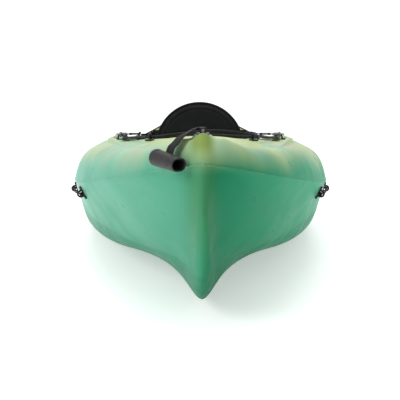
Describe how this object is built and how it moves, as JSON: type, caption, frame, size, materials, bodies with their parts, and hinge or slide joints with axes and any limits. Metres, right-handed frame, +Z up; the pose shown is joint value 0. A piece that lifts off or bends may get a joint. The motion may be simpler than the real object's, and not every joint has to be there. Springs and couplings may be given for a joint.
{
  "type": "kayak",
  "caption": "Single sit-on-top recreational kayak with a padded folding seat, bungee-laced decks, swinging carry handles, scuppers and a screw drain plug.",
  "frame": {"origin": "centre of the bottom of the hull's bounding box, on the flat keel", "axes": "-Y towards the bow, +Y towards the stern, +X towards the paddler's left as they face the bow, +Z up"},
  "size_m": [0.79, 3.0138, 0.4219],
  "materials": {
    "hull_top": "satin",
    "hull_bottom": "satin",
    "foam": "matte",
    "black_plastic": "satin",
    "grip_plastic": "matte",
    "stainless": "brushed",
    "webbing": "woven",
    "padding": "woven",
    "bungee": "braided",
    "seal": "matte"
  },
  "bodies": {
    "hull": {"deck_shell": "hull_top", "hull_bottom_shell": "hull_bottom", "bow_foam": "foam", "stern_foam": "foam", "scupper_tubes": "hull_bottom", "foredeck_pad_eyes": "black_plastic", "foredeck_eye_screws": "stainless", "foredeck_bungee": "bungee", "tank_pad_eyes": "black_plastic", "tank_eye_screws": "stainless", "tank_bungee": "bungee", "keeper_pad_eyes": "black_plastic", "keeper_eye_screws": "stainless", "left_keeper_bungee": "bungee", "right_keeper_bungee": "bungee", "seat_pad_eyes": "black_plastic", "seat_eye_screws": "stainless", "front_snap_hooks": "black_plastic", "rear_snap_hooks": "black_plastic", "left_front_strap": "webbing", "right_front_strap": "webbing", "left_rear_strap": "webbing", "right_rear_strap": "webbing", "strap_adjusters": "black_plastic", "seat_base": "padding", "seat_rod": "stainless", "seat_rod_brackets": "black_plastic", "bow_handle_anchor": "black_plastic", "bow_handle_screws": "stainless", "bow_handle_pin": "stainless", "stern_handle_anchor": "black_plastic", "stern_handle_screws": "stainless", "stern_handle_pin": "stainless", "drain_flange": "black_plastic", "drain_screws": "stainless"},
    "seat_back": {"seat_back": "padding", "seat_back_shell": "black_plastic", "seat_back_tabs": "webbing"},
    "bow_handle": {"bow_handle_strap": "webbing", "bow_handle_grip": "grip_plastic"},
    "stern_handle": {"stern_handle_strap": "webbing", "stern_handle_grip": "grip_plastic"},
    "drain_seal": {"drain_seal": "seal"},
    "drain_plug": {"drain_plug": "black_plastic"}
  },
  "joints": [
    {"name": "seat_back_fold", "type": "hinge", "parent": "hull", "child": "seat_back", "pos_m": [0, 0.35, 0.126], "axis": [1, 0, 0], "range_deg": [0, 68]},
    {"name": "bow_handle_swing", "type": "hinge", "parent": "hull", "child": "bow_handle", "pos_m": [0, -1.42, 0.41687], "axis": [0, 1, 0], "range_deg": [0, 150]},
    {"name": "stern_handle_swing", "type": "hinge", "parent": "hull", "child": "stern_handle", "pos_m": [0, 1.424, 0.34773], "axis": [0, 1, 0], "range_deg": [0, 150]},
    {"name": "drain_seal_lift", "type": "slide", "parent": "hull", "child": "drain_seal", "axis": [0, 0, 1], "range_m": [0, 0.018]},
    {"name": "drain_plug_turn", "type": "hinge", "parent": "drain_seal", "child": "drain_plug", "pos_m": [0, 1.27, 0.32732], "axis": [0, 0, 1], "range_deg": [0, 2160]}
  ],
  "couplings": [
    {"joint": "drain_seal_lift", "follows": "drain_plug_turn", "m_per_rad": 0.00047746}
  ]
}
